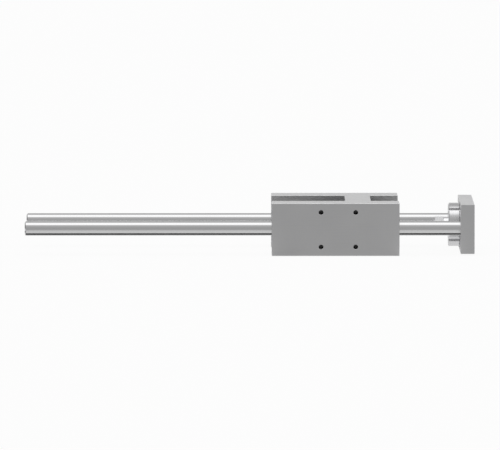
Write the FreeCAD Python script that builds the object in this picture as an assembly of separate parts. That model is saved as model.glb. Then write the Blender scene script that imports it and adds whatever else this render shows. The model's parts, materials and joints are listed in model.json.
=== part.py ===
"""Guide unit for a size 40 rod cylinder: an H-shaped housing, two guide rods and a yoke with a rod coupling.

Millimetres. X runs along the rods towards the yoke, Y across them, Z up. The origin is on the unit's axis,
in the face of the housing's web that the cylinder's front cap seats on.
"""

import FreeCAD, Part
import math
import os

V = FreeCAD.Vector
X_AXIS = V(1, 0, 0)

# Housing
HOUSING_WIDTH = 115.0
HOUSING_HEIGHT = 58.0
REAR_BAY_LENGTH = 81.0
WEB_THICKNESS = 28.0
FRONT_BAY_LENGTH = 31.0
WALL_THICKNESS = 28.0
BAY_CORNER_RADIUS = 0.8
HOUSING_EDGE_BREAK = 0.4

# Cylinder seat in the web
CYLINDER_BORE_D = 35.0
CYLINDER_PITCH = 38.0
CYLINDER_HOLE_D = 6.6
CYLINDER_HEAD_D = 11.0
CYLINDER_HEAD_DEPTH = 6.5

# Tapped pattern in the near side wall
SIDE_PITCH = 38.0
SIDE_TAP_D = 5.0
SIDE_TAP_DEPTH = 14.0
SIDE_PATTERN_FROM_REAR = 73.0
TAP_COUNTERSINK = 0.25

# Guide rods
ROD_D = 16.0
ROD_TO_SIDE_FACE = 15.5
ROD_CENTRE_D = 3.0
ROD_REAR_OVERHANG = 271.0
ROD_CHAMFER = 1.0
YOKE_GAP = 67.4

# Rod bearings in the housing
BUSH_WALL = 2.0
BUSH_LENGTH = 30.0
BUSH_CHAMFER = 0.5
RUNNING_CLEARANCE = 0.03
RELIEF_CLEARANCE = 1.0
WIPER_D = 22.0
WIPER_LENGTH = 5.0
WIPER_LIP_LENGTH = 1.6
WIPER_BODY_CLEARANCE = 0.8
RING_THICKNESS = 1.2
RING_GROOVE_DEPTH = 0.6
RING_WIDTH = 1.9
RING_SETBACK = 1.0
RING_GAP_ANGLE = 70.0
RING_LUG_R = 1.3
RING_EYE_R = 0.6

# Yoke
YOKE_THICKNESS = 15.0
YOKE_SIDE_SETBACK = 2.5
YOKE_HEIGHT = 54.0
YOKE_CHAMFER = 0.3
ROD_POCKET_DEPTH = 3.0
LOAD_PITCH_Y = 66.0
LOAD_PITCH_Z = 38.0
LOAD_TAP_D = 5.0

# Rod coupling: a slotted ring screwed into the yoke holds the stud's collar between two washers
RING_NUT_D = 48.0
RING_NUT_LENGTH = 12.3
RING_NUT_CHAMFER = 0.8
SPIGOT_D = 40.0
SPIGOT_LENGTH = 6.0
SPANNER_SLOTS = 4
SPANNER_SLOT_WIDTH = 4.0
SPANNER_SLOT_DEPTH = 2.0
SPANNER_SLOT_TURN = 40.6
COLLAR_POCKET_D = 32.0
COLLAR_POCKET_DEPTH = 7.0
FLOAT = 1.0
WASHER_THICKNESS = 1.2
THRUST_CLEARANCE = 0.05
NECK_D = 16.6
NECK_LENGTH = 5.0
HEX_ACROSS_FLATS = 18.0
HEX_LENGTH = 10.0
HEX_CHAMFER = 1.0
STUD_TAP_D = 10.75
STUD_TAP_DEPTH = 19.0

# Rod screws: thread, head diameter, head height, socket across flats, length under the head
ROD_SCREW = {"thread": 8.0, "head": 13.0, "height": 8.0, "socket": 6.0, "length": 20.0}
HEAD_CLEARANCE = 0.5
SHANK_CLEARANCE = 0.2
HEAD_SINK = 0.2
SOCKET_DEPTH_SHARE = 0.5
TAP_RUNOUT = 4.0

# Places worked out from the sizes
HOUSING_LENGTH = REAR_BAY_LENGTH + WEB_THICKNESS + FRONT_BAY_LENGTH
REAR_X = -REAR_BAY_LENGTH
FRONT_X = WEB_THICKNESS + FRONT_BAY_LENGTH
BAY_WIDTH = HOUSING_WIDTH - 2 * WALL_THICKNESS
ROD_Y = HOUSING_WIDTH / 2 - ROD_TO_SIDE_FACE
YOKE_WIDTH = HOUSING_WIDTH - 2 * YOKE_SIDE_SETBACK
SIDES = {"near": -1, "far": 1}
ENDS = {"rear": (REAR_X, 1), "front": (FRONT_X, -1)}
BUSH_D = ROD_D + 2 * BUSH_WALL
RING_BACK = RING_SETBACK + RING_THICKNESS
WIPER_BACK = RING_BACK + WIPER_LENGTH
BUSH_BACK = WIPER_BACK + BUSH_LENGTH
YOKE_BACK_X = FRONT_X + YOKE_GAP
YOKE_FRONT_X = YOKE_BACK_X + YOKE_THICKNESS
ROD_REAR_X = REAR_X - ROD_REAR_OVERHANG
ROD_FRONT_X = YOKE_BACK_X + ROD_POCKET_DEPTH
RING_NUT_BACK_X = YOKE_BACK_X - RING_NUT_LENGTH
SPIGOT_END_X = YOKE_BACK_X + SPIGOT_LENGTH
POCKET_FLOOR_X = SPIGOT_END_X - COLLAR_POCKET_DEPTH
STUD_TIP_X = RING_NUT_BACK_X - NECK_LENGTH - HEX_LENGTH
HEAD_SEAT_X = YOKE_FRONT_X - ROD_SCREW["height"] - HEAD_SINK
ROD_SCREW_TIP_X = HEAD_SEAT_X - ROD_SCREW["length"]
PAST = 1.0


def turned(profile, y=0.0, z=0.0):
    """A solid turned about a line along X from (x, radius) points."""
    points = [V(x, 0, r) for x, r in profile]
    face = Part.Face(Part.makePolygon(points + points[:1]))
    solid = face.revolve(V(0, 0, 0), X_AXIS, 360)
    solid.translate(V(0, y, z))
    return solid


def rod_along_x(x0, x1, diameter, y=0.0, z=0.0):
    return Part.makeCylinder(diameter / 2, x1 - x0, V(x0, y, z), X_AXIS)


def block(x0, x1, width, height):
    """A box from x0 to x1, centred on the axis."""
    return Part.makeBox(x1 - x0, width, height, V(x0, -width / 2, -height / 2))


def hexagon_along_x(x0, x1, across_flats, y=0.0, z=0.0):
    """A hexagonal bar with flats above and below."""
    radius = across_flats / math.sqrt(3)
    corners = [math.radians(60 * i) for i in range(7)]
    points = [V(x0, y + radius * math.cos(a), z + radius * math.sin(a)) for a in corners]
    return Part.Face(Part.makePolygon(points)).extrude(V(x1 - x0, 0, 0))


def square_pattern(pitch_a, pitch_b):
    return [(a * pitch_a / 2, b * pitch_b / 2) for a in (-1, 1) for b in (-1, 1)]


def rod_screw_hole(y):
    """A clearance hole through the yoke with a counterbore for the screw's head in its front face."""
    shank = rod_along_x(YOKE_BACK_X - PAST, YOKE_FRONT_X, ROD_SCREW["thread"] + 2 * SHANK_CLEARANCE, y)
    head = rod_along_x(HEAD_SEAT_X, YOKE_FRONT_X + PAST, ROD_SCREW["head"] + 2 * HEAD_CLEARANCE, y)
    return shank.fuse(head)


def rod_screw(side):
    """A socket cap screw that holds a rod to the yoke, its head seated in the counterbore."""
    top_x = HEAD_SEAT_X + ROD_SCREW["height"]
    shank_r = ROD_SCREW["thread"] / 2
    head_r = ROD_SCREW["head"] / 2
    edge = ROD_SCREW["height"] / 10
    tip = ROD_SCREW["thread"] / 10
    profile = [
        (ROD_SCREW_TIP_X, 0),
        (ROD_SCREW_TIP_X, shank_r - tip),
        (ROD_SCREW_TIP_X + tip, shank_r),
        (HEAD_SEAT_X, shank_r),
        (HEAD_SEAT_X, head_r),
        (top_x - edge, head_r),
        (top_x, head_r - edge),
        (top_x, 0),
    ]
    socket_x = top_x - ROD_SCREW["height"] * SOCKET_DEPTH_SHARE
    socket = hexagon_along_x(socket_x, top_x + PAST, ROD_SCREW["socket"], side * ROD_Y)
    return turned(profile, side * ROD_Y).cut(socket)


def rod_bore(y):
    """The stepped bore in one wall: a relief for the rod, and at each end seats for bush, wiper and ring."""
    bore = rod_along_x(REAR_X - PAST, FRONT_X + PAST, ROD_D + 2 * RELIEF_CLEARANCE, y)
    for end_x, inward in ENDS.values():
        groove_d = WIPER_D + 2 * RING_GROOVE_DEPTH
        steps = [
            (-PAST, WIPER_BACK, WIPER_D),
            (RING_SETBACK, RING_BACK, groove_d),
            (WIPER_BACK, BUSH_BACK, BUSH_D),
        ]
        for start, stop, diameter in steps:
            ends = sorted([end_x + inward * start, end_x + inward * stop])
            bore = bore.fuse(rod_along_x(ends[0], ends[1], diameter, y))
    return bore


def side_hole(x, z):
    """A blind tapped hole in the near side wall, with a small countersink."""
    face_y = -HOUSING_WIDTH / 2
    inward = V(0, 1, 0)
    hole = Part.makeCylinder(SIDE_TAP_D / 2, SIDE_TAP_DEPTH, V(x, face_y, z), inward)
    mouth_r = SIDE_TAP_D / 2 + TAP_COUNTERSINK
    mouth = Part.makeCone(mouth_r, SIDE_TAP_D / 2, TAP_COUNTERSINK, V(x, face_y, z), inward)
    return hole.fuse(mouth)


def bay(x0, x1, web_x):
    """One open bay between the walls, rounded in the two corners at the web."""
    space = block(x0, x1, BAY_WIDTH, HOUSING_HEIGHT + 2 * PAST)
    corners = [e for e in space.Edges if all(abs(v.X - web_x) < 1e-6 for v in e.Vertexes)
               and abs(e.Vertexes[0].Y - e.Vertexes[1].Y) < 1e-6]
    return space.makeFillet(BAY_CORNER_RADIUS, corners)


def outline_edges(body):
    """The edges round the top, the bottom and the two ends, which are all broken by the same chamfer."""
    half = HOUSING_HEIGHT / 2
    flat = [e for e in body.Edges if all(abs(abs(v.Z) - half) < 1e-6 for v in e.Vertexes)]
    at_ends = [e for e in body.Edges if all(v.X in (REAR_X, FRONT_X) for v in e.Vertexes)]
    upright = [e for e in at_ends if abs(e.Vertexes[0].Z - e.Vertexes[-1].Z) > half]
    return flat + upright


def housing():
    body = block(REAR_X, FRONT_X, HOUSING_WIDTH, HOUSING_HEIGHT)
    body = body.cut(bay(REAR_X - PAST, 0, 0))
    body = body.cut(bay(WEB_THICKNESS, FRONT_X + PAST, WEB_THICKNESS))
    body = body.makeChamfer(HOUSING_EDGE_BREAK, outline_edges(body))
    cuts = [rod_along_x(-PAST, WEB_THICKNESS + PAST, CYLINDER_BORE_D)]
    for y, z in square_pattern(CYLINDER_PITCH, CYLINDER_PITCH):
        cuts.append(rod_along_x(-PAST, WEB_THICKNESS + PAST, CYLINDER_HOLE_D, y, z))
        head_x = WEB_THICKNESS - CYLINDER_HEAD_DEPTH
        cuts.append(rod_along_x(head_x, WEB_THICKNESS + PAST, CYLINDER_HEAD_D, y, z))
    for side in SIDES.values():
        cuts.append(rod_bore(side * ROD_Y))
    for x, z in square_pattern(SIDE_PITCH, SIDE_PITCH):
        cuts.append(side_hole(REAR_X + SIDE_PATTERN_FROM_REAR + x, z))
    for cut in cuts:
        body = body.cut(cut)
    return body


def guide_rod(side):
    """A hardened rod, chamfered at both ends and tapped in front for its screw."""
    r = ROD_D / 2
    c = ROD_CHAMFER
    profile = [
        (ROD_REAR_X + ROD_CENTRE_D / 2, 0),
        (ROD_REAR_X, ROD_CENTRE_D / 2),
        (ROD_REAR_X, r - c),
        (ROD_REAR_X + c, r),
        (ROD_FRONT_X - c, r),
        (ROD_FRONT_X, r - c),
        (ROD_FRONT_X, 0),
    ]
    tap_x = ROD_SCREW_TIP_X - TAP_RUNOUT
    tap = rod_along_x(tap_x, ROD_FRONT_X + PAST, ROD_SCREW["thread"], side * ROD_Y)
    return turned(profile, side * ROD_Y).cut(tap)


def placed(end, points):
    """Profile points measured inward from a housing end, as (x, radius)."""
    end_x, inward = ENDS[end]
    return [(end_x + inward * depth, r) for depth, r in points]


def bush(end, side):
    inner = ROD_D / 2 + RUNNING_CLEARANCE
    outer = BUSH_D / 2
    c = BUSH_CHAMFER
    points = [
        (WIPER_BACK, inner + c),
        (WIPER_BACK + c, inner),
        (BUSH_BACK - c, inner),
        (BUSH_BACK, inner + c),
        (BUSH_BACK, outer - c),
        (BUSH_BACK - c, outer),
        (WIPER_BACK, outer),
    ]
    return turned(placed(end, points), side * ROD_Y)


def wiper(end, side):
    """A scraper ring whose lip runs on the rod and leans outward."""
    lip = ROD_D / 2 + RUNNING_CLEARANCE
    inner = ROD_D / 2 + WIPER_BODY_CLEARANCE
    points = [
        (WIPER_BACK, WIPER_D / 2),
        (RING_BACK, WIPER_D / 2),
        (RING_BACK, lip),
        (RING_BACK + WIPER_LIP_LENGTH, inner),
        (WIPER_BACK, inner),
    ]
    return turned(placed(end, points), side * ROD_Y)


def retaining_ring(end, side):
    """A snap ring in its groove, open below, with an eye at each tip."""
    end_x, inward = ENDS[end]
    x0 = min(end_x + inward * RING_SETBACK, end_x + inward * RING_BACK)
    outer = WIPER_D / 2 + RING_GROOVE_DEPTH
    inner = outer - RING_WIDTH
    base = V(x0, side * ROD_Y, 0)
    ring = Part.makeCylinder(outer, RING_THICKNESS, base, X_AXIS)
    ring = ring.cut(Part.makeCylinder(inner, RING_THICKNESS, base, X_AXIS))
    half_gap = math.radians(RING_GAP_ANGLE / 2)
    reach = 2 * outer
    corners = [base, base + V(0, -reach * math.sin(half_gap), -reach * math.cos(half_gap)),
               base + V(0, reach * math.sin(half_gap), -reach * math.cos(half_gap)), base]
    ring = ring.cut(Part.Face(Part.makePolygon(corners)).extrude(V(RING_THICKNESS, 0, 0)))
    lug_radius = inner + RING_WIDTH / 2 - RING_LUG_R / 2
    for turn in (-1, 1):
        angle = math.radians(-90 + turn * RING_GAP_ANGLE / 2)
        at = base + V(0, lug_radius * math.cos(angle), lug_radius * math.sin(angle))
        ring = ring.fuse(Part.makeCylinder(RING_LUG_R, RING_THICKNESS, at, X_AXIS))
        ring = ring.cut(Part.makeCylinder(RING_EYE_R, RING_THICKNESS, at, X_AXIS))
    return ring.removeSplitter()


def yoke_plate():
    plate = block(YOKE_BACK_X, YOKE_FRONT_X, YOKE_WIDTH, YOKE_HEIGHT)
    front_edges = [e for e in plate.Edges if all(abs(v.X - YOKE_FRONT_X) < 1e-6 for v in e.Vertexes)]
    plate = plate.makeChamfer(YOKE_CHAMFER, front_edges)
    cuts = [rod_along_x(YOKE_BACK_X - PAST, SPIGOT_END_X, SPIGOT_D)]
    for side in SIDES.values():
        cuts.append(rod_along_x(YOKE_BACK_X - PAST, ROD_FRONT_X, ROD_D, side * ROD_Y))
        cuts.append(rod_screw_hole(side * ROD_Y))
    for y, z in square_pattern(LOAD_PITCH_Y, LOAD_PITCH_Z):
        cuts.append(rod_along_x(YOKE_BACK_X - PAST, YOKE_FRONT_X + PAST, LOAD_TAP_D, y, z))
    for cut in cuts:
        plate = plate.cut(cut)
    return plate


def coupling_ring():
    """A ring nut with spanner slots in its rim and a spigot that screws into the yoke round the collar."""
    r = RING_NUT_D / 2
    c = RING_NUT_CHAMFER
    neck_r = NECK_D / 2 + FLOAT
    pocket_r = COLLAR_POCKET_D / 2
    profile = [
        (RING_NUT_BACK_X, neck_r + c),
        (RING_NUT_BACK_X, r - c),
        (RING_NUT_BACK_X + c, r),
        (YOKE_BACK_X - c, r),
        (YOKE_BACK_X, r - c),
        (YOKE_BACK_X, SPIGOT_D / 2),
        (SPIGOT_END_X, SPIGOT_D / 2),
        (SPIGOT_END_X, pocket_r),
        (POCKET_FLOOR_X, pocket_r),
        (POCKET_FLOOR_X, neck_r),
        (RING_NUT_BACK_X + c, neck_r),
    ]
    ring = turned(profile)
    for i in range(SPANNER_SLOTS):
        corner = V(RING_NUT_BACK_X - PAST, -SPANNER_SLOT_WIDTH / 2, r - SPANNER_SLOT_DEPTH)
        slot = Part.makeBox(RING_NUT_LENGTH + PAST, SPANNER_SLOT_WIDTH, SPANNER_SLOT_DEPTH + PAST, corner)
        slot.rotate(V(0, 0, 0), X_AXIS, SPANNER_SLOT_TURN + 360 / SPANNER_SLOTS * i)
        ring = ring.cut(slot)
    return ring


def thrust_washer(x0, inner_d):
    """A washer that fills the ring nut's pocket across and leaves room for what passes through it."""
    washer = rod_along_x(x0, x0 + WASHER_THICKNESS, COLLAR_POCKET_D)
    return washer.cut(rod_along_x(x0 - PAST, x0 + WASHER_THICKNESS + PAST, inner_d))


def coupling_stud():
    """The stud that takes the piston rod's thread: hexagon, neck and a collar held between the washers."""
    collar_back = POCKET_FLOOR_X + WASHER_THICKNESS + THRUST_CLEARANCE
    collar_front = SPIGOT_END_X - WASHER_THICKNESS - THRUST_CLEARANCE
    hex_end = STUD_TIP_X + HEX_LENGTH
    neck_r = NECK_D / 2
    collar_r = COLLAR_POCKET_D / 2 - FLOAT
    profile = [
        (hex_end, 0),
        (hex_end, neck_r),
        (collar_back, neck_r),
        (collar_back, collar_r),
        (collar_front, collar_r),
        (collar_front, 0),
    ]
    corner_r = HEX_ACROSS_FLATS / math.sqrt(3)
    flat_r = HEX_ACROSS_FLATS / 2
    rounding = turned([
        (STUD_TIP_X, 0),
        (STUD_TIP_X, flat_r),
        (STUD_TIP_X + HEX_CHAMFER, corner_r),
        (hex_end - HEX_CHAMFER, corner_r),
        (hex_end, flat_r),
        (hex_end, 0),
    ])
    hexagon = hexagon_along_x(STUD_TIP_X, hex_end, HEX_ACROSS_FLATS).common(rounding)
    tap = turned([
        (STUD_TIP_X - PAST, 0),
        (STUD_TIP_X - PAST, STUD_TAP_D / 2 + HEX_CHAMFER + PAST),
        (STUD_TIP_X + HEX_CHAMFER, STUD_TAP_D / 2),
        (STUD_TIP_X + STUD_TAP_DEPTH, STUD_TAP_D / 2),
        (STUD_TIP_X + STUD_TAP_DEPTH, 0),
    ])
    return turned(profile).fuse(hexagon).cut(tap)


def all_pieces():
    pieces = {
        "housing": housing(),
        "yoke_plate": yoke_plate(),
        "coupling_ring": coupling_ring(),
        "coupling_stud": coupling_stud(),
        "thrust_washer_rear": thrust_washer(POCKET_FLOOR_X, NECK_D + 2 * FLOAT),
        "thrust_washer_front": thrust_washer(SPIGOT_END_X - WASHER_THICKNESS, NECK_D + 2 * FLOAT),
    }
    for side_name, side in SIDES.items():
        pieces["guide_rod_" + side_name] = guide_rod(side)
        pieces["rod_screw_" + side_name] = rod_screw(side)
        for end in ENDS:
            place = end + "_" + side_name
            pieces["bush_" + place] = bush(end, side)
            pieces["wiper_" + place] = wiper(end, side)
            pieces["retaining_ring_" + place] = retaining_ring(end, side)
    return pieces


os.makedirs("parts", exist_ok=True)
for name, shape in all_pieces().items():
    if not shape.isValid():
        raise ValueError(name + " isn't a valid solid")
    print(name, len(shape.Solids), round(shape.Volume, 1))
    shape.exportStep("parts/" + name + ".step")
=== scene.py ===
"""Finishes, fastener detail and studio stage for a rod cylinder's guide unit, laid out as an add-on."""

import json
import math

import bpy
from bpy.props import FloatProperty, FloatVectorProperty, IntProperty, PointerProperty
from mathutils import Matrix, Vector


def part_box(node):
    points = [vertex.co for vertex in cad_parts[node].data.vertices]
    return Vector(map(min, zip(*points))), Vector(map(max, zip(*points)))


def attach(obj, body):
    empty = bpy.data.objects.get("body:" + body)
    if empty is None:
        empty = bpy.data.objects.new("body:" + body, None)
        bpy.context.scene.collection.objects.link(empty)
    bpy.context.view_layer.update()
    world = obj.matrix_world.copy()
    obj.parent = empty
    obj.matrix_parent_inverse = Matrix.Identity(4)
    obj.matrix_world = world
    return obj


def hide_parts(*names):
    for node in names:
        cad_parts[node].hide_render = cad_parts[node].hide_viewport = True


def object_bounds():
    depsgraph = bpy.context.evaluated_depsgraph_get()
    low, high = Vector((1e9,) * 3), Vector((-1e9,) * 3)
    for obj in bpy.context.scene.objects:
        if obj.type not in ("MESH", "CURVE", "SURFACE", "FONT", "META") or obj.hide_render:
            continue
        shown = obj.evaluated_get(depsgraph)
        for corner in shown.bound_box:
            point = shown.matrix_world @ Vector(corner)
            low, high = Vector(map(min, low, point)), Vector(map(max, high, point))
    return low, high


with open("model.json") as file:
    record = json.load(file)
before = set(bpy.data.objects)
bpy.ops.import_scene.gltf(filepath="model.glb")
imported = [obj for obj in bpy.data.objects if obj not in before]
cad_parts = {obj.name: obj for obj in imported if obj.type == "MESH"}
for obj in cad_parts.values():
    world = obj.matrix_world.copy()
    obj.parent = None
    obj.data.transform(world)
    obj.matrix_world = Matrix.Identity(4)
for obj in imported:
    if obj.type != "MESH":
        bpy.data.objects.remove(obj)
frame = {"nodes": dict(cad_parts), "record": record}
CAD_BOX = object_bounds()

bl_info = {
    "name": "Cylinder Guide Unit",
    "version": (1, 0, 0),
    "blender": (4, 5, 0),
    "location": "View3D > Sidebar > Guide Unit",
    "description": "Dresses a guide unit with metal finishes, threads and screws, and sets up its stage",
    "category": "Object",
}

NODES = frame["nodes"]
MM = 0.001

# Rod screws
ROD_SCREWS = ("rod_screw_near", "rod_screw_far")
SCREW_THREAD = 8.0 * MM
SCREW_PITCH = 1.25 * MM
SCREW_HEAD_HEIGHT = 8.0 * MM
SCREW_SOCKET = 6.0 * MM

# Shares of half a thread's turn that its crest and its flank take up
THREAD_CREST = 0.12
THREAD_FLANK = 0.7

# Tapped holes: mount, body, slot, and in mm the thread's pitch, its end and its start below the mouth
TAPS = (
    ("side_bolts", "housing", "housing", 1.0, 12.0, 0.6),
    ("load_bolts", "carriage", "yoke", 1.0, 14.4, 0.3),
    ("rod_thread", "stud", "coupling", 1.25, 16.5, 0.8),
)
SLEEVE_WALL = 0.04 * MM

# Faces of the screws and threads that meet at more than this keep a sharp edge
SMOOTH_ANGLE = math.radians(35)

# How dense each grain is along X, Y and Z, per metre, where EVEN leaves that to the noise's scale
MILLING_LINES = (25, 1400, 1400)
GRINDING_RINGS = (2500, 40, 40)
TURNING_RINGS = (3000, 200, 200)
SCREW_GRAIN = (900, 900, 900)
EVEN = (1, 1, 1)

# Most of a noise lies between these values
NOISE_LOW = 0.3
NOISE_HIGH = 0.7

# Lightened edges, a painted highlight and wear: where they begin and are full, as a rounded normal's
# agreement with the true one
EDGE_BEGINS = 0.98
EDGE_FULL = 0.8

# The radius of that rounding, and how much brighter the painted highlight and wear make an edge
EDGE_RADIUS = 0.4 * MM
EDGE_HIGHLIGHT_AND_WEAR = 1.25

# Painted shade in the housing's bays, darker where its own walls close in: how far off a wall can be to
# count, and the share of the colour left where they close in fully
BAY_SHADE_REACH = 100 * MM
BAY_PAINTED_SHADE = 0.37

# Painted light on the stud: how much brighter its zinc is painted than the ring nut's
STUD_PAINTED_LIGHT = 1.16

WHITE = (1, 1, 1, 1)

# Floor: its side in m, its grey, and the width over which what metal shows of it falls off before the unit
FLOOR_SIZE = 60
FLOOR_GREY = 0.86
APRON_FADE = 3 * MM

# Strips on the floor that show in the rods' polish: places across the rods, height and brightness
CARD_LIFT = 0.2 * MM
DARK_OUTER = 12 * MM
DARK_INNER = 10 * MM
DARK_LEVEL = 0.055
PALE_NEAR = 0.5 * MM
PALE_FAR = 50 * MM
PALE_LEVEL = 0.66

# Studio light: turn from behind the camera (0) over the zenith (0.5) to the far horizon (1), and brightness
STUDIO_BANDS = (
    (0.001, 0.37), (0.16, 0.43), (0.26, 0.5), (0.31, 0.62), (0.37, 1.2), (0.43, 1.25), (0.53, 1.25),
    (0.59, 0.9), (0.67, 0.44), (0.76, 0.42), (0.86, 0.5), (0.97, 1.2), (0.999, 1.2),
)

# Camera: the image's width in pixels, the sensor's width in mm and how far it sees in m
IMAGE_WIDTH = 500
SENSOR_WIDTH = 36.0
CAMERA_REACH = 100


class GuideUnitFinish(bpy.types.PropertyGroup):
    """Colours and gloss of the unit's finishes."""

    aluminium: FloatVectorProperty(
        name="Aluminium", description="Colour of the milled housing and yoke",
        subtype="COLOR", size=3, min=0, max=1, default=(0.74, 0.74, 0.745))
    aluminium_roughness: FloatProperty(
        name="Aluminium roughness", description="Roughness of the milled faces",
        subtype="FACTOR", min=0, max=1, default=0.42)
    rod_steel: FloatVectorProperty(
        name="Rod steel", description="Colour of the ground guide rods",
        subtype="COLOR", size=3, min=0, max=1, default=(0.8, 0.8, 0.805))
    rod_roughness: FloatProperty(
        name="Rod roughness", description="Roughness of the ground rods",
        subtype="FACTOR", min=0, max=1, default=0.11)
    zinc: FloatVectorProperty(
        name="Zinc plate", description="Colour of the plated coupling and screws",
        subtype="COLOR", size=3, min=0, max=1, default=(0.82, 0.82, 0.83))
    zinc_roughness: FloatProperty(
        name="Zinc roughness", description="Roughness of the plated pieces",
        subtype="FACTOR", min=0, max=1, default=0.24)
    bronze: FloatVectorProperty(
        name="Bronze", description="Colour of the bushes and thrust washers",
        subtype="COLOR", size=3, min=0, max=1, default=(0.6, 0.42, 0.21))
    rubber: FloatVectorProperty(
        name="Rubber", description="Colour of the wiper rings",
        subtype="COLOR", size=3, min=0, max=1, default=(0.018, 0.018, 0.019))
    spring_steel: FloatVectorProperty(
        name="Spring steel", description="Colour of the blackened snap rings and the oiled threads",
        subtype="COLOR", size=3, min=0, max=1, default=(0.1, 0.1, 0.105))


class GuideUnitDetail(bpy.types.PropertyGroup):
    """Fineness of the screws and threads."""

    points: IntProperty(
        name="Points", description="Points around a screw or a thread", min=24, default=48)
    rings_per_pitch: IntProperty(
        name="Rings", description="Rings along each turn of a thread", min=6, default=12)
    knurl_depth: FloatProperty(
        name="Knurl", description="Depth of the knurls on the screw heads",
        unit="LENGTH", min=0, default=0.18 * MM)
    thread_share: FloatProperty(
        name="Thread depth", description="Depth of a screw's thread as a share of its pitch",
        subtype="FACTOR", min=0, max=1, default=0.61)
    ridge_share: FloatProperty(
        name="Ridge depth", description="How far a tapped hole's ridges stand in, as a share of the pitch",
        subtype="FACTOR", min=0, max=1, default=0.32)


class GuideUnitStage(bpy.types.PropertyGroup):
    """Camera, floor and light."""

    azimuth: FloatProperty(
        name="Azimuth", description="Camera's turn about the vertical",
        subtype="ANGLE", default=math.radians(0.27))
    elevation: FloatProperty(
        name="Elevation", description="Camera's height above the horizon",
        subtype="ANGLE", default=math.radians(6.068))
    distance: FloatProperty(
        name="Distance", description="From the camera to the middle of the unit",
        unit="LENGTH", default=8.273)
    focal_pixels: FloatProperty(
        name="Focal length", description="In pixels of an image 500 wide",
        subtype="PIXEL", default=7496.0)
    aim_offset_x: FloatProperty(
        name="Aim shift", description="Shift of the aim point along the rods",
        unit="LENGTH", default=0.65 * MM)
    aim_offset_z: FloatProperty(
        name="Aim height", description="Height of the aim point above the unit's middle",
        unit="LENGTH", default=-0.8 * MM)
    side_level: FloatProperty(
        name="Side level", description="Brightness of the studio's left and right sides, as a share",
        subtype="FACTOR", min=0, max=1, default=0.3)
    light_level: FloatProperty(
        name="Light level", description="Strength of the studio light", min=0, default=1.0)
    floor_level: FloatProperty(
        name="Floor level", description="Brightness of the floor by the unit as metal shows it",
        min=0, default=0.72)
    apron_level: FloatProperty(
        name="Apron level", description="Brightness of the floor towards the camera as metal shows it",
        min=0, default=0.42)
    floor_white: FloatProperty(
        name="Floor white", description="Share of the floor's own white that hides its shadow",
        subtype="FACTOR", min=0, max=1, default=0.94)


def finish_values():
    return bpy.context.scene.guide_unit_finish


def detail_values():
    return bpy.context.scene.guide_unit_detail


def stage_values():
    return bpy.context.scene.guide_unit_stage


class Nodes:
    """A node tree with short calls to add, set and link nodes."""

    def __init__(self, tree):
        self.tree = tree

    def add(self, kind, **values):
        node = self.tree.nodes.new(kind)
        for key, value in values.items():
            setattr(node, key, value)
        return node

    def link(self, source, target):
        self.tree.links.new(source, target)

    def put(self, value, target):
        """Sets a socket to a number, or links another socket to it."""
        if isinstance(value, bpy.types.NodeSocket):
            self.link(value, target)
        else:
            target.default_value = value

    def calculate(self, operation, *values):
        node = self.add("ShaderNodeMath", operation=operation)
        for value, target in zip(values, node.inputs):
            self.put(value, target)
        return node.outputs["Value"]

    def remap(self, value, source, target):
        """Takes a value from one range to another."""
        node = self.add("ShaderNodeMapRange")
        sockets = ("Value", "From Min", "From Max", "To Min", "To Max")
        for name, end in zip(sockets, (value, *source, *target)):
            self.put(end, node.inputs[name])
        return node.outputs["Result"]

    def mix_shaders(self, factor, first, second):
        node = self.add("ShaderNodeMixShader")
        self.link(factor, node.inputs["Fac"])
        self.link(first, node.inputs[1])
        self.link(second, node.inputs[2])
        return node.outputs["Shader"]


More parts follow.
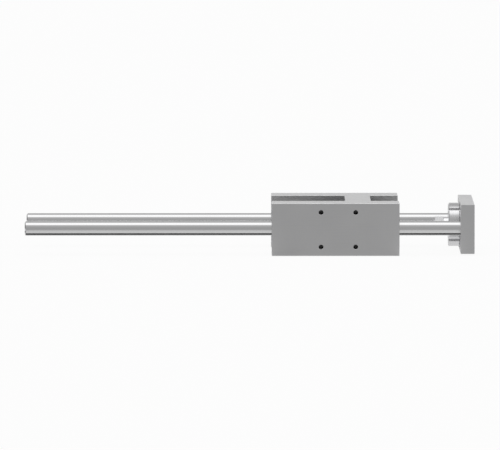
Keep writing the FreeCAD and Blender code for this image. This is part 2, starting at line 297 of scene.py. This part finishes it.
class Surface(Nodes):
    """A material's node tree about its main shader."""

    def __init__(self, name, metallic):
        self.material = bpy.data.materials.new(name)
        self.material.use_nodes = True
        super().__init__(self.material.node_tree)
        self.shader = self.tree.nodes["Principled BSDF"]
        self.shader.inputs["Metallic"].default_value = metallic

    def noise(self, grain, scale, octaves):
        """Noise over the object's own coordinates, with its grain stretched along each axis."""
        coordinates = self.add("ShaderNodeTexCoord")
        mapping = self.add("ShaderNodeMapping")
        mapping.inputs["Scale"].default_value = grain
        self.link(coordinates.outputs["Object"], mapping.inputs["Vector"])
        node = self.add("ShaderNodeTexNoise")
        node.inputs["Scale"].default_value = scale
        node.inputs["Detail"].default_value = octaves
        self.link(mapping.outputs["Vector"], node.inputs["Vector"])
        return node.outputs["Fac"]

    def mix(self, factor, first, second, blend="MIX"):
        node = self.add("ShaderNodeMix", data_type="RGBA", blend_type=blend)
        self.put(factor, node.inputs["Factor"])
        self.put(first, node.inputs["A"])
        self.put(second, node.inputs["B"])
        return node.outputs["Result"]

    def mottle(self, factor, colour, low, high):
        """A colour times a share that runs from low to high with the factor."""
        return self.mix(factor, scaled(colour, low), scaled(colour, high))

    def edge(self, radius):
        """Near 1 on edges and 0 on flats, from how far a rounded normal leans from the true one."""
        rounded = self.add("ShaderNodeBevel", samples=4)
        rounded.inputs["Radius"].default_value = radius
        geometry = self.add("ShaderNodeNewGeometry")
        dot = self.add("ShaderNodeVectorMath", operation="DOT_PRODUCT")
        self.link(rounded.outputs["Normal"], dot.inputs[0])
        self.link(geometry.outputs["Normal"], dot.inputs[1])
        return self.remap(dot.outputs["Value"], (EDGE_BEGINS, EDGE_FULL), (0, 1))

    def cavity(self, reach):
        """1 on open faces, falling to 0 where the piece's own walls close in within the reach."""
        node = self.add("ShaderNodeAmbientOcclusion", samples=8, only_local=True)
        node.inputs["Distance"].default_value = reach
        return node.outputs["AO"]

    def colour(self, socket):
        self.link(socket, self.shader.inputs["Base Color"])

    def roughness(self, factor, low, high):
        spread = self.remap(factor, (NOISE_LOW, NOISE_HIGH), (low, high))
        self.link(spread, self.shader.inputs["Roughness"])

    def bump(self, height, strength, distance):
        node = self.add("ShaderNodeBump")
        node.inputs["Strength"].default_value = strength
        node.inputs["Distance"].default_value = distance
        self.link(height, node.inputs["Height"])
        self.link(node.outputs["Normal"], self.shader.inputs["Normal"])


def scaled(colour, share):
    """A colour times a share, no brighter than white, with its alpha."""
    return (*(min(1.0, channel * share) for channel in colour), 1)


def milled_aluminium():
    """Anodised aluminium with milling lines along the unit, edges lightened as a painted highlight and
    wear, and painted shade in its bays.
    """
    rough = finish_values().aluminium_roughness
    colour = tuple(finish_values().aluminium)
    surface = Surface("milled_aluminium", metallic=1.0)
    lines = surface.noise(MILLING_LINES, scale=1.0, octaves=4.0)
    cloud = surface.noise(EVEN, scale=30.0, octaves=4.0)
    base = surface.mottle(cloud, colour, low=0.96, high=1.04)
    # Painted highlight along the edges, together with wear: the colour is lightened there
    highlit_and_worn = surface.mix(surface.edge(EDGE_RADIUS), base, scaled(colour, EDGE_HIGHLIGHT_AND_WEAR))
    # Painted shade: the colour darkens in the bays and hollows where the housing's own walls close in
    oil_film_and_painted_shade = surface.mix(surface.cavity(BAY_SHADE_REACH), (BAY_PAINTED_SHADE, BAY_PAINTED_SHADE, BAY_PAINTED_SHADE, 1), WHITE)
    surface.colour(surface.mix(1.0, highlit_and_worn, oil_film_and_painted_shade, blend="MULTIPLY"))
    surface.roughness(lines, low=rough - 0.09, high=rough + 0.1)
    surface.bump(lines, strength=0.22, distance=0.05 * MM)
    return surface.material


def ground_steel():
    """Hardened rod steel with fine rings left by grinding."""
    rough = finish_values().rod_roughness
    surface = Surface("ground_rod_steel", metallic=1.0)
    rings = surface.noise(GRINDING_RINGS, scale=1.0, octaves=2.0)
    cloud = surface.noise(EVEN, scale=18.0, octaves=3.0)
    surface.colour(surface.mottle(cloud, finish_values().rod_steel, low=0.97, high=1.02))
    surface.roughness(rings, low=rough - 0.03, high=rough + 0.04)
    surface.bump(rings, strength=0.03, distance=0.02 * MM)
    return surface.material


def zinc_plate(name, grain, brightness=1.0):
    """Bright zinc plate over steel with the given grain, and its colour times a brightness, which above 1
    is painted light.
    """
    rough = finish_values().zinc_roughness
    colour = scaled(finish_values().zinc, brightness)[:3]
    surface = Surface(name, metallic=1.0)
    rings = surface.noise(grain, scale=1.0, octaves=2.0)
    cloud = surface.noise(EVEN, scale=140.0, octaves=3.0)
    surface.colour(surface.mottle(cloud, colour, low=0.92, high=1.04))
    surface.roughness(rings, low=rough - 0.05, high=rough + 0.07)
    surface.bump(rings, strength=0.04, distance=0.03 * MM)
    return surface.material


def bronze():
    """Sintered bronze with fine open pores."""
    surface = Surface("sintered_bronze", metallic=1.0)
    pores = surface.noise(EVEN, scale=2600.0, octaves=2.0)
    surface.colour(surface.mottle(pores, finish_values().bronze, low=0.7, high=1.15))
    surface.roughness(pores, low=0.45, high=0.3)
    surface.bump(pores, strength=0.2, distance=0.04 * MM)
    return surface.material


def wiper_rubber():
    """Black nitrile rubber with a faint mould grain and dust."""
    surface = Surface("wiper_rubber", metallic=0.0)
    grain = surface.noise(EVEN, scale=1800.0, octaves=3.0)
    surface.colour(surface.mottle(grain, finish_values().rubber, low=0.8, high=1.8))
    surface.roughness(grain, low=0.5, high=0.68)
    surface.bump(grain, strength=0.15, distance=0.03 * MM)
    return surface.material


def black_spring_steel():
    """Blackened spring steel, unevenly oiled."""
    surface = Surface("black_spring_steel", metallic=1.0)
    cloud = surface.noise(EVEN, scale=500.0, octaves=3.0)
    surface.colour(surface.mottle(cloud, finish_values().spring_steel, low=0.8, high=1.3))
    surface.roughness(cloud, low=0.3, high=0.45)
    return surface.material


def oiled_thread():
    """A tapped hole's wall, dulled by cutting oil."""
    surface = Surface("oiled_thread", metallic=1.0)
    oil_film_and_painted_shade = surface.noise(EVEN, scale=900.0, octaves=3.0)
    surface.colour(surface.mottle(oil_film_and_painted_shade, finish_values().spring_steel, low=0.9, high=1.7))
    surface.roughness(oil_film_and_painted_shade, low=0.35, high=0.5)
    return surface.material


class Loft:
    """A mesh skinned over rings set along a line, each ring given by a depth and a radius."""

    def __init__(self, axis, points):
        self.origin = Vector()
        self.turn = Vector((1, 0, 0)).rotation_difference(Vector(axis))
        self.points = points
        self.vertices = []
        self.faces = []

    def place(self, depth, radius, angle):
        local = Vector((depth, radius * math.cos(angle), radius * math.sin(angle)))
        self.vertices.append(self.origin + self.turn @ local)
        return len(self.vertices) - 1

    def add_ring(self, depth, radius, last):
        """Adds a ring, its radius a number or a function of the angle, and skins it to the last one."""
        ring = []
        for i in range(self.points):
            angle = 2 * math.pi * i / self.points
            ring.append(self.place(depth, radius(angle) if callable(radius) else radius, angle))
        if last:
            self.join(last, ring)
        return ring

    def add_rings(self, rings, last):
        for depth, radius in rings:
            last = self.add_ring(depth, radius, last)
        return last

    def join(self, last, ring):
        for i in range(self.points):
            j = (i + 1) % self.points
            self.faces.append((last[i], last[j], ring[j], ring[i]))

    def close(self, ring, depth, first):
        """Closes an end with a fan to a point on the line."""
        tip = self.place(depth, 0.0, 0.0)
        for i in range(self.points):
            j = (i + 1) % self.points
            self.faces.append((ring[j], ring[i], tip) if first else (ring[i], ring[j], tip))

    def make(self, name, material):
        mesh = bpy.data.meshes.new(name)
        mesh.from_pydata(self.vertices, [], self.faces)
        mesh.materials.append(material)
        for polygon in mesh.polygons:
            polygon.use_smooth = True
        mesh.set_sharp_from_angle(angle=SMOOTH_ANGLE)
        piece = bpy.data.objects.new(name, mesh)
        bpy.context.scene.collection.objects.link(piece)
        return piece


def thread_groove(phase):
    """Depth of a thread at a place along its turn: 0 on the crest, 1 in the root."""
    slope = (abs(phase % 1.0 - 0.5) * 2 - THREAD_CREST) / THREAD_FLANK
    return min(max(slope, 0.0), 1.0)


def thread_rings(radius, start, stop, pitch, depth, runout):
    """Rings of a helical thread that goes inward from the radius and fades out at both ends."""
    step = pitch / detail_values().rings_per_pitch
    count = round((stop - start) / step)
    rings = []
    for k in range(count + 1):
        at = start + (stop - start) * k / count
        fade = min(1.0, (at - start) / runout, (stop - at) / runout)

        def around(angle, at=at, fade=fade):
            return radius - depth * fade * thread_groove(at / pitch - angle / (2 * math.pi))

        rings.append((at, around))
    return rings


def cap_screw(loft, length, head):
    """A socket cap screw along the loft's line, from its tip at 0 to the top of its knurled head."""
    shank = SCREW_THREAD / 2
    rim = head / 2
    seat = length - SCREW_HEAD_HEIGHT
    edge = SCREW_HEAD_HEIGHT / 10
    tip = SCREW_THREAD / 10
    teeth = loft.points // 2
    socket_floor = length - SCREW_HEAD_HEIGHT / 2
    thread_depth = detail_values().thread_share * SCREW_PITCH

    def knurl(angle):
        return rim - detail_values().knurl_depth * (0.5 - 0.5 * math.cos(teeth * angle))

    def hexagon(angle):
        return SCREW_SOCKET / 2 / math.cos((angle + math.pi / 6) % (math.pi / 3) - math.pi / 6)

    tip_ring = loft.add_ring(0.0, shank - tip, None)
    loft.close(tip_ring, 0.0, first=True)
    thread = thread_rings(
        shank, start=1.5 * tip, stop=seat - SCREW_PITCH,
        pitch=SCREW_PITCH, depth=thread_depth, runout=1.5 * SCREW_PITCH)
    underside = [(seat, shank), (seat, rim - edge / 2), (seat + edge / 2, rim)]
    knurled = [(seat + edge, knurl), (length - 2 * edge, knurl)]
    crown = [(length - 1.5 * edge, rim), (length - edge, rim), (length, rim - edge)]
    socket = [(length, SCREW_SOCKET / math.sqrt(3)), (length - edge / 2, hexagon), (socket_floor, hexagon)]
    rings = [(tip, shank - tip / 4), *thread, *underside, *knurled, *crown, *socket]
    last = loft.add_rings(rings, tip_ring)
    loft.close(last, socket_floor - edge, first=False)


def thread_sleeve(loft, radius, start, stop, pitch):
    """A closed sleeve in a tapped hole, threaded inside, with its plain outside hidden in the wall."""
    ridge = detail_values().ridge_share * pitch
    thread = thread_rings(radius - SLEEVE_WALL / 2, start, stop, pitch, depth=ridge, runout=pitch)
    outside = [(start, radius + SLEEVE_WALL), (stop, radius + SLEEVE_WALL)]
    first = loft.add_ring(*thread.pop(), None)
    last = loft.add_rings([*reversed(thread), *outside], first)
    loft.join(last, first)


def mount(name):
    return next(item for item in frame["record"]["mounts"] if item["name"] == name)


def hole_mouths(stated):
    """The mouth of each hole of a stated mount, and its axis out of the piece."""
    axis = Vector(stated["axis"])
    centre = Vector(stated["pos_m"])
    dims = stated["dims"]
    if "count" not in dims:
        return [centre + axis * dims["length_mm"] / 2 * MM], axis
    across = [Vector(a) for a in ((1, 0, 0), (0, 1, 0), (0, 0, 1)) if abs(axis.dot(Vector(a))) < 0.5]
    first = across[0] * dims["spacing_x_mm"] / 2 * MM
    second = across[1] * dims["spacing_y_mm"] / 2 * MM
    return [centre + first * a + second * b for a in (-1, 1) for b in (-1, 1)], axis


def dress(prefixes, material):
    """Gives every node whose name starts with one of the prefixes a finish."""
    for name, node in NODES.items():
        if name.startswith(prefixes):
            node.data.materials.clear()
            node.data.materials.append(material)


class GUIDEUNIT_OT_housing(bpy.types.Operator):
    """Finish the housing and the yoke as milled aluminium"""

    bl_idname = "guide_unit.housing"
    bl_label = "Housing and Yoke"

    def execute(self, context):
        dress(("housing", "yoke_plate"), milled_aluminium())
        return {"FINISHED"}


class GUIDEUNIT_OT_rods(bpy.types.Operator):
    """Finish the guide rods as ground steel"""

    bl_idname = "guide_unit.rods"
    bl_label = "Guide Rods"

    def execute(self, context):
        dress(("guide_rod",), ground_steel())
        return {"FINISHED"}


class GUIDEUNIT_OT_bearings(bpy.types.Operator):
    """Finish the bushes, wipers, snap rings and thrust washers"""

    bl_idname = "guide_unit.bearings"
    bl_label = "Bearings"

    def execute(self, context):
        dress(("bush", "thrust_washer"), bronze())
        dress(("wiper",), wiper_rubber())
        dress(("retaining_ring",), black_spring_steel())
        return {"FINISHED"}


class GUIDEUNIT_OT_coupling(bpy.types.Operator):
    """Finish the coupling's ring nut and stud as plated turned steel"""

    bl_idname = "guide_unit.coupling"
    bl_label = "Rod Coupling"

    def execute(self, context):
        dress(("coupling_ring",), zinc_plate("ring_zinc", TURNING_RINGS))
        # The stud's zinc is painted brighter than the ring nut's, standing in for light on its flats
        dress(("coupling_stud",), zinc_plate("stud_zinc_painted_light", TURNING_RINGS, STUD_PAINTED_LIGHT))
        return {"FINISHED"}


class GUIDEUNIT_OT_screws(bpy.types.Operator):
    """Make the rod screws in plated steel, with threads, knurled heads and sockets"""

    bl_idname = "guide_unit.screws"
    bl_label = "Screws"

    def execute(self, context):
        material = zinc_plate("screw_zinc", SCREW_GRAIN)
        for node in ROD_SCREWS:
            low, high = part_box(node)
            loft = Loft((1, 0, 0), detail_values().points)
            loft.origin = Vector((low.x, (low.y + high.y) / 2, (low.z + high.z) / 2))
            cap_screw(loft, high.x - low.x, high.y - low.y)
            piece = loft.make(node + "_detail", material)
            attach(piece, "carriage")
            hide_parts(node)
        return {"FINISHED"}


class GUIDEUNIT_OT_threads(bpy.types.Operator):
    """Line the tapped holes with threads"""

    bl_idname = "guide_unit.threads"
    bl_label = "Threads"

    def execute(self, context):
        material = oiled_thread()
        for name, body, slot, pitch, length, lead in TAPS:
            stated = mount(name)
            radius = stated["dims"].get("hole_r_mm", stated["dims"].get("r_mm")) * MM
            mouths, axis = hole_mouths(stated)
            loft = Loft(axis, detail_values().points)
            for mouth in mouths:
                loft.origin = mouth
                thread_sleeve(loft, radius, -length * MM, -lead * MM, pitch * MM)
            piece = loft.make(name + "_thread", material)
            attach(piece, body)
        return {"FINISHED"}


def bare_nodes(owner):
    """The emptied node tree of a material or a world."""
    owner.use_nodes = True
    owner.node_tree.nodes.clear()
    return Nodes(owner.node_tree)


def floor_material():
    """White floor that keeps a soft share of the unit's shadow, and is greyer where metal shows it."""
    material = bpy.data.materials.new("studio_floor")
    nodes = bare_nodes(material)
    path = nodes.add("ShaderNodeLightPath")
    seen = path.outputs["Is Camera Ray"]
    mirrored = path.outputs["Is Glossy Ray"]
    place = nodes.add("ShaderNodeSeparateXYZ")
    nodes.link(nodes.add("ShaderNodeNewGeometry").outputs["Position"], place.inputs["Vector"])
    front = CAD_BOX[0].y
    levels = (stage_values().apron_level, stage_values().floor_level)
    shown = nodes.remap(place.outputs["Y"], (front - APRON_FADE, front), levels)
    white = nodes.add("ShaderNodeEmission")
    nodes.link(nodes.remap(seen, (0, 1), (shown, 1)), white.inputs["Strength"])
    diffuse = nodes.add("ShaderNodeBsdfDiffuse")
    diffuse.inputs["Color"].default_value = (FLOOR_GREY, FLOOR_GREY, FLOOR_GREY, 1)
    share = nodes.calculate("MULTIPLY_ADD", seen, stage_values().floor_white, mirrored)
    surface = nodes.mix_shaders(share, diffuse.outputs["BSDF"], white.outputs["Emission"])
    nodes.link(surface, nodes.add("ShaderNodeOutputMaterial").inputs["Surface"])
    return material


def studio_world():
    """A studio bright overhead and far behind the unit, dimmer at its sides and behind the camera."""
    world = bpy.data.worlds.new("studio")
    bpy.context.scene.world = world
    nodes = bare_nodes(world)
    axes = nodes.add("ShaderNodeSeparateXYZ")
    nodes.link(nodes.add("ShaderNodeTexCoord").outputs["Generated"], axes.inputs["Vector"])
    forward = nodes.calculate("MULTIPLY", axes.outputs["Y"], -1.0)
    angle = nodes.calculate("ARCTAN2", axes.outputs["Z"], forward)
    ramp = nodes.add("ShaderNodeValToRGB")
    nodes.link(nodes.calculate("DIVIDE", angle, math.pi), ramp.inputs["Fac"])
    for place, brightness in STUDIO_BANDS:
        element = ramp.color_ramp.elements.new(place)
        element.color = (brightness, brightness, brightness, 1)
    for spare in (ramp.color_ramp.elements[-1], ramp.color_ramp.elements[0]):
        ramp.color_ramp.elements.remove(spare)
    square = nodes.calculate("MULTIPLY", axes.outputs["X"], axes.outputs["X"])
    fourth = nodes.calculate("MULTIPLY", square, square)
    dimming = (stage_values().side_level - 1) * stage_values().light_level
    side = nodes.calculate("MULTIPLY_ADD", fourth, dimming, stage_values().light_level)
    light = nodes.add("ShaderNodeBackground")
    light.inputs["Color"].default_value = WHITE
    nodes.link(nodes.calculate("MULTIPLY", ramp.outputs["Color"], side), light.inputs["Strength"])
    white = nodes.add("ShaderNodeBackground")
    white.inputs["Color"].default_value = WHITE
    seen = nodes.add("ShaderNodeLightPath").outputs["Is Camera Ray"]
    surface = nodes.mix_shaders(seen, light.outputs["Background"], white.outputs["Background"])
    nodes.link(surface, nodes.add("ShaderNodeOutputWorld").inputs["Surface"])


def make_camera():
    view = stage_values()
    low, high = CAD_BOX
    aim = (low + high) / 2 + Vector((view.aim_offset_x, 0, view.aim_offset_z))
    back = Vector((
        -math.sin(view.azimuth) * math.cos(view.elevation),
        -math.cos(view.azimuth) * math.cos(view.elevation),
        math.sin(view.elevation)))
    data = bpy.data.cameras.new("photo_camera")
    data.sensor_width = SENSOR_WIDTH
    data.lens = view.focal_pixels / IMAGE_WIDTH * SENSOR_WIDTH
    data.clip_end = CAMERA_REACH
    camera = bpy.data.objects.new("photo_camera", data)
    camera.location = aim + back * view.distance
    camera.rotation_mode = "QUATERNION"
    camera.rotation_quaternion = (-back).to_track_quat("-Z", "Y")
    bpy.context.scene.collection.objects.link(camera)
    bpy.context.scene.camera = camera


def make_floor():
    low, _ = CAD_BOX
    bpy.ops.mesh.primitive_plane_add(size=FLOOR_SIZE, location=(0, 0, low.z))
    floor = bpy.context.object
    floor.name = "studio_floor"
    floor.data.materials.append(floor_material())


def card_material(name, level):
    """An even brightness, the same from every side."""
    material = bpy.data.materials.new(name)
    nodes = bare_nodes(material)
    even = nodes.add("ShaderNodeEmission")
    even.inputs["Color"].default_value = WHITE
    even.inputs["Strength"].default_value = level
    nodes.link(even.outputs["Emission"], nodes.add("ShaderNodeOutputMaterial").inputs["Surface"])
    return material


def make_reflection_card(name, along, across, level):
    """A strip on the floor that shows only in gloss, between two places along the rods and two across."""
    z = CAD_BOX[0].z + CARD_LIFT
    start, stop = along
    near, far = across
    corners = [(start, near, z), (stop, near, z), (stop, far, z), (start, far, z)]
    mesh = bpy.data.meshes.new(name)
    mesh.from_pydata(corners, [], [(0, 1, 2, 3)])
    mesh.materials.append(card_material(name, level))
    card = bpy.data.objects.new(name, mesh)
    bpy.context.scene.collection.objects.link(card)
    for ray in ("camera", "diffuse", "transmission", "volume_scatter", "shadow"):
        setattr(card, "visible_" + ray, False)


def slide_range():
    """How far the carriage can slide back and forward from rest."""
    joints = frame["record"]["behaviour"]["joints"]
    return next(joint["range_m"] for joint in joints if joint["name"] == "carriage_slide")


def make_dark_card(rod):
    """The dark strip under a rod and its whole travel that draws its lower edge."""
    low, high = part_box(rod)
    back, forward = slide_range()
    middle = (low.y + high.y) / 2
    side = 1 if low.y > 0 else -1
    across = (middle + side * DARK_OUTER, middle - side * DARK_INNER)
    make_reflection_card("dark_card", (low.x + back, high.x + forward), across, DARK_LEVEL)


def make_pale_cards():
    """Pale strips before the near rod, on both sides of the housing, for the light band low on it."""
    rod_low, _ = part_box("guide_rod_near")
    housing_low, housing_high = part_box("housing")
    yoke_low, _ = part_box("yoke_plate")
    across = (CAD_BOX[0].y - PALE_FAR, CAD_BOX[0].y - PALE_NEAR)
    make_reflection_card("pale_card", (rod_low.x, housing_low.x), across, PALE_LEVEL)
    make_reflection_card("pale_card", (housing_high.x, yoke_low.x), across, PALE_LEVEL)


class GUIDEUNIT_OT_stage(bpy.types.Operator):
    """Set up the floor and its reflection cards, the studio light and the camera"""

    bl_idname = "guide_unit.stage"
    bl_label = "Stage"

    def execute(self, context):
        make_floor()
        make_dark_card("guide_rod_near")
        make_dark_card("guide_rod_far")
        make_pale_cards()
        studio_world()
        make_camera()
        context.scene.view_settings.view_transform = "Standard"
        return {"FINISHED"}


OPERATORS = (
    GUIDEUNIT_OT_housing,
    GUIDEUNIT_OT_rods,
    GUIDEUNIT_OT_bearings,
    GUIDEUNIT_OT_coupling,
    GUIDEUNIT_OT_screws,
    GUIDEUNIT_OT_threads,
    GUIDEUNIT_OT_stage,
)


class GUIDEUNIT_PT_panel(bpy.types.Panel):
    """Guide unit tools in the 3D view's sidebar."""

    bl_idname = "GUIDEUNIT_PT_panel"
    bl_label = "Guide Unit"
    bl_space_type = "VIEW_3D"
    bl_region_type = "UI"
    bl_category = "Guide Unit"

    def draw(self, context):
        for operator in OPERATORS:
            self.layout.operator(operator.bl_idname)
        for group in (finish_values(), detail_values(), stage_values()):
            box = self.layout.box()
            for name in group.bl_rna.properties.keys():
                if name not in ("rna_type", "name"):
                    box.prop(group, name)


CLASSES = (GuideUnitFinish, GuideUnitDetail, GuideUnitStage, *OPERATORS, GUIDEUNIT_PT_panel)


def register():
    for item in CLASSES:
        bpy.utils.register_class(item)
    bpy.types.Scene.guide_unit_finish = PointerProperty(type=GuideUnitFinish)
    bpy.types.Scene.guide_unit_detail = PointerProperty(type=GuideUnitDetail)
    bpy.types.Scene.guide_unit_stage = PointerProperty(type=GuideUnitStage)


def unregister():
    del bpy.types.Scene.guide_unit_stage
    del bpy.types.Scene.guide_unit_detail
    del bpy.types.Scene.guide_unit_finish
    for item in reversed(CLASSES):
        bpy.utils.unregister_class(item)


def main():
    register()
    bpy.ops.guide_unit.housing()
    bpy.ops.guide_unit.rods()
    bpy.ops.guide_unit.bearings()
    bpy.ops.guide_unit.coupling()
    bpy.ops.guide_unit.screws()
    bpy.ops.guide_unit.threads()
    bpy.ops.guide_unit.stage()


if __name__ == "__main__":
    main()
